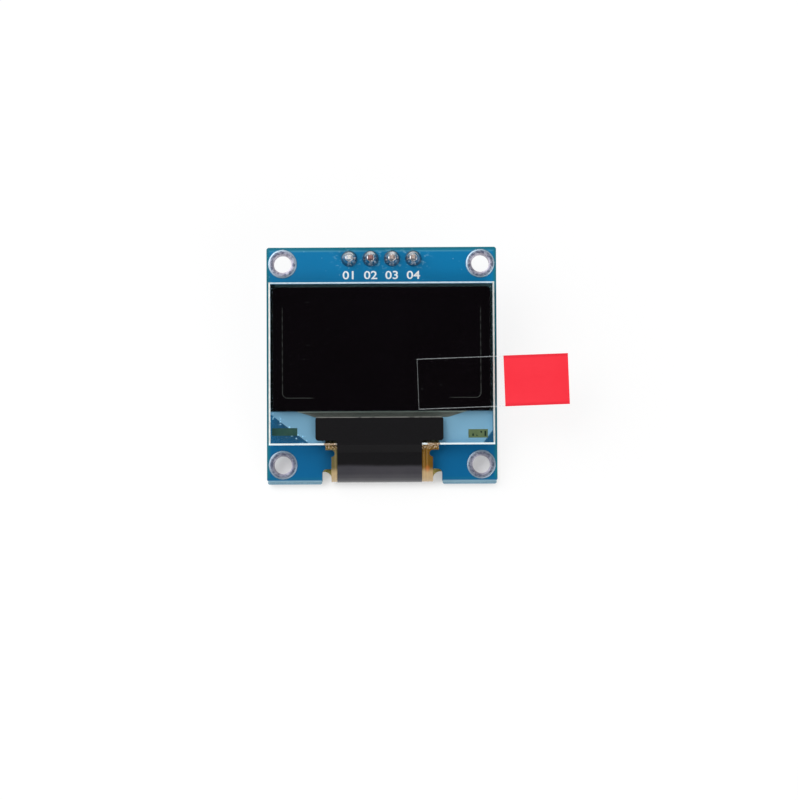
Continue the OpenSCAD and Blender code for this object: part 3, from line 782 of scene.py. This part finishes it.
def strip(shape, route, width, z_low, z_high):
    """A flat conductor that follows a route of points, as one box for each straight run."""
    for step, ((x0, y0), (x1, y1)) in enumerate(zip(route, route[1:])):
        run = Vector((x1 - x0, y1 - y0, 0))
        size = Matrix.Diagonal((run.length + width * 0.8, width, z_high - z_low, 1))
        turn = Matrix.Rotation(math.atan2(run.y, run.x), 4, "Z")
        drop = 0.0013 * (step + 1)
        middle = Vector(((x0 + x1) / 2, (y0 + y1) / 2, (z_low + z_high) / 2 - drop))
        bmesh.ops.create_cube(shape, size=1, matrix=Matrix.Translation(middle) @ turn @ size)


VIA_ROUTES = (
    ((2.0, 0.3), (2.0, 1.9)), ((8.0, 0.3), (8.0, 2.2), (9.6, 3.8)), ((-4.95, 0.6), (-4.95, 2.6)),
    ((-3.05, 0.6), (-3.05, 2.2)), ((-8.5, -1.7), (-9.6, -0.6), (-9.6, 2.0)),
    ((8.5, -2.6), (9.8, -1.3), (9.8, 0.2)),
)
STITCHING = ((-12.5, 6.0), (-12.5, 0.0), (-12.5, -6.0), (12.5, 6.0), (12.5, 0.0), (12.5, -6.0))


def back_traces():
    """Conductors under the mask: from the ribbon's contacts to the chips and on to the header."""
    shape = bmesh.new()
    low, high = -0.022, -0.001
    row_low = LOW_ROW.y - 0.9
    count, pitch = 9, 2.0
    for number in range(count):
        x = (number - count // 2) * pitch
        fan = x * 1.03
        route = [(x, row_low), (fan, row_low - 0.7), (fan, RIBBON_HIGH.y + 0.3)]
        strip(shape, route, 0.2, low, high)
        turned = x + (0.5 if number % 2 else -0.5)
        route = [(x, LOW_ROW.y + 0.9), (x, LOW_ROW.y + 1.6)]
        route += [(turned, LOW_ROW.y + 2.1), (turned, HIGH_ROW.y - 1.0)]
        strip(shape, route, 0.22, low, high)
    for route in VIA_ROUTES:
        strip(shape, route, 0.3, low, high)
    for pin, x in zip(PINS, (-7.0, -1.0, 3.6, 6.2)):
        knee = HIGH_ROW.y + 3.4
        route = [(x, HIGH_ROW.y + 1.0), (x, knee)]
        route += [(pin.x, knee + abs(x - pin.x)), (pin.x, HEADER_LOW.y)]
        strip(shape, route, 0.4, low, high)
    return shape


piece("back_traces", back_traces(), covered_copper())


def back_pads():
    """Tinned pads that show round the ends of each chip and of the regulator's leads."""
    shape = bmesh.new()
    bottom, top = -0.03, -0.001
    for low, high in CHIPS:
        for y in (low.y, high.y):
            slab(shape, (low.x - 0.06, y - 0.36, bottom), (high.x + 0.06, y + 0.36, top))
    low, high = box("regulator_leads")
    middle, lead = ((low + high) / 2).x, 0.95
    for x, y in ((middle - lead, high.y), (middle + lead, high.y), (middle, low.y)):
        slab(shape, (x - 0.4, y - 0.35, bottom), (x + 0.4, y + 0.35, top))
    return shape


piece("back_pads", back_pads(), gilt_pad())


def vias():
    """Small plated holes, filled: on the board's back each is a low disc with a raised middle."""
    shape = bmesh.new()
    for x, y in [route[-1] for route in VIA_ROUTES] + list(STITCHING):
        for radius, depth in ((0.27, -0.025), (0.15, -0.04)):
            matrix = Matrix.Translation((x, y, depth / 2))
            bmesh.ops.create_cone(shape, cap_ends=True, segments=20, radius1=radius, radius2=radius,
                                  depth=-depth, matrix=matrix)
    return shape


piece("vias", vias(), gilt_pad())


def contact_beads():
    """One pillow of solder over the end of each contact of the ribbon's tail."""
    low, high = box("flex_solder")
    pitch = (high.x - low.x - CONTACT_W) / (CONTACTS - 1)
    length = high.y - low.y
    shape = bmesh.new()
    for number in range(CONTACTS):
        x = low.x + CONTACT_W / 2 + number * pitch
        wobble = 1 + 0.08 * math.sin(number * 2.3)
        size = Matrix.Diagonal((CONTACT_W / 2, length / 2, -low.z * wobble, 1))
        place = Matrix.Translation((x, (low.y + high.y) / 2, 0))
        made = bmesh.ops.create_uvsphere(
            shape, u_segments=14, v_segments=10, radius=1, matrix=place @ size
        )
        above = [vert for vert in made["verts"] if vert.co.z > 0]
        for vert in above:
            vert.co.z = 0
    bmesh.ops.remove_doubles(shape, verts=shape.verts, dist=1e-4)
    bmesh.ops.recalc_face_normals(shape, faces=shape.faces)
    return shape


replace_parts(piece("contact_beads", contact_beads(), SOLDER, smooth=True), "flex_solder")


def ledge_marks():
    """The two etched fields at the ends of the ledge, just inside the glass's back."""
    shape = bmesh.new()
    back, front = GLASS_LOW.z + 0.004, GLASS_LOW.z + 0.012
    slab(shape, (-13.0, -8.5, back), (-10.0, -7.6, front))
    slab(shape, (10.2, MARK_Y - 0.5, back), (12.5, MARK_Y + 0.5, front))
    return shape


piece("ledge_marks", ledge_marks(), olive_mark())


def score_ridge():
    """The ridge that a scored panel leaves along the board's bottom edge, at each side."""
    shape = bmesh.new()
    far, depth = BOARD_HIGH.x - 0.1, 0.35
    for left, right in ((-far, -NOTCH_SIDE), (NOTCH_SIDE, far)):
        slab(shape, (left, BOARD_LOW.y - depth, 0.4), (right, BOARD_LOW.y + 0.02, 1.05))
    corners = []
    for edge in shape.edges:
        first, second = (corner.co for corner in edge.verts)
        if abs(first.z - second.z) > 0.1 and first.y < BOARD_LOW.y:
            corners.append(edge)
    bmesh.ops.bevel(
        shape, geom=corners, offset=0.22, segments=4, profile=0.5, affect="EDGES", material=-1
    )
    return shape


piece("score_ridge", score_ridge(), torn_edge())


# Studio


def ray(tree, *names):
    """1 for the kinds of ray that are named, and 0 for the rest."""
    path = tree.nodes.new("ShaderNodeLightPath")
    total = path.outputs[names[0]]
    for name in names[1:]:
        most = tree.nodes.new("ShaderNodeMath")
        most.operation = "MAXIMUM"
        tree.links.new(total, most.inputs[0])
        tree.links.new(path.outputs[name], most.inputs[1])
        total = most.outputs[0]
    return total


def floor():
    """A pale floor that leans from the board's lower edge to the pins' tips, open from below.

    It nears plain white away from the module, so that its far edges can't be told from the
    white round it, and has a painted shadow under the board, strongest under its lower half.
    """
    toe = Vector((0, BOARD_LOW.y, BOARD_LOW.z))
    heel = box("header_pin_1")
    heel = Vector((0, heel[1].y, heel[0].z))
    lean = Matrix.Rotation(math.atan2(heel.z - toe.z, heel.y - toe.y), 4, "X")
    place = Matrix.Translation(toe - UP * 0.06) @ lean
    shape = bmesh.new()
    bmesh.ops.create_grid(shape, x_segments=1, y_segments=1, size=300, matrix=place)
    paint = Paint("floor")
    far = (paint.x * paint.x + paint.y * paint.y).root().over(50, 50)
    white = paint.node("BsdfDiffuse", {"Color": (0.9, 0.9, 0.9, 1)})
    glow = paint.node("Emission", {"Color": (1, 1, 1, 1), "Strength": 1.02})
    seen = Value(paint, ray(paint.tree, "Is Camera Ray", "Is Glossy Ray", "Is Transmission Ray"))
    shade_w, shade_h, soft = 27, 28.1, 1.5
    # painted shadow: less glow under the board, most under its lower half and a little past its
    # bottom edge
    under = paint.x.abs().near(0, shade_w, soft)
    under = under * (paint.y + 0.35).abs().near(0, shade_h, soft)
    under = under * (1 - paint.y.over(2, 10) * 0.75)
    lit = paint.blend(seen * (0.84 + far * 0.16 - under * 0.47), white, glow)
    behind = paint.node("NewGeometry", out="Backfacing")
    finish = paint.done(paint.blend(behind, lit, paint.clear()))
    made = mesh_object("floor", shape, finish)


def surroundings():
    """Soft light from all round, with a dark patch overhead that keeps the display black."""
    world = bpy.data.worlds.new("studio")
    bpy.context.scene.world = world
    world.use_nodes = True
    tree = world.node_tree
    tree.nodes.clear()
    place = tree.nodes.new("ShaderNodeTexCoord")
    parts = tree.nodes.new("ShaderNodeSeparateXYZ")
    tree.links.new(place.outputs["Generated"], parts.inputs[0])
    dim = tree.nodes.new("ShaderNodeMapRange")
    dim.interpolation_type = "SMOOTHSTEP"
    for name, value in (("From Min", 0.72), ("From Max", 0.93), ("To Min", 0.5), ("To Max", 0.016)):
        dim.inputs[name].default_value = value
    tree.links.new(parts.outputs[2], dim.inputs["Value"])
    level = tree.nodes.new("ShaderNodeMath")
    level.operation = "MAXIMUM"
    tree.links.new(dim.outputs[0], level.inputs[0])
    tree.links.new(ray(tree, "Is Camera Ray"), level.inputs[1])
    back = tree.nodes.new("ShaderNodeBackground")
    back.inputs["Color"].default_value = (1, 1, 1, 1)
    tree.links.new(level.outputs[0], back.inputs["Strength"])
    output = tree.nodes.new("ShaderNodeOutputWorld")
    tree.links.new(back.outputs[0], output.inputs["Surface"])


def softbox(name, place, size, power):
    """A square lamp, placed in millimetres, that faces the module."""
    lamp = bpy.data.lights.new(name, "AREA")
    lamp.shape = "RECTANGLE"
    lamp.size, lamp.size_y = size[0] * MM, size[1] * MM
    lamp.energy = power
    made = bpy.data.objects.new(name, lamp)
    made.location = Vector(place) * MM
    made.rotation_euler = Vector(place).to_track_quat("Z", "Y").to_euler()
    bpy.context.scene.collection.objects.link(made)


def camera():
    """Looks straight down on the display from far off, a touch from the ribbon's side."""
    distance, tilt, roll = 300.0, math.radians(2.5), math.radians(0.3)
    aim = Vector((2.025, -4.29, BOARD_HIGH.z))
    seen_width = 94.65
    lens = bpy.data.cameras.new("camera")
    lens.sensor_fit = "HORIZONTAL"
    lens.angle = 2 * math.atan(seen_width / 2 / distance)
    lens.clip_start, lens.clip_end = 0.01, 10
    made = bpy.data.objects.new("camera", lens)
    away = Vector((0, -math.sin(tilt), math.cos(tilt)))
    made.matrix_world = (
        Matrix.Translation((aim + away * distance) * MM)
        @ Matrix.Rotation(tilt, 4, "X")
        @ Matrix.Rotation(-roll, 4, "Z")
    )
    bpy.context.scene.collection.objects.link(made)
    bpy.context.scene.camera = made


floor()
surroundings()
softbox("key", (-230, 170, 260), (440, 440), 1.5)
softbox("fill", (220, -190, 220), (300, 300), 0.6)
camera()
bpy.context.scene.view_settings.view_transform = "Standard"
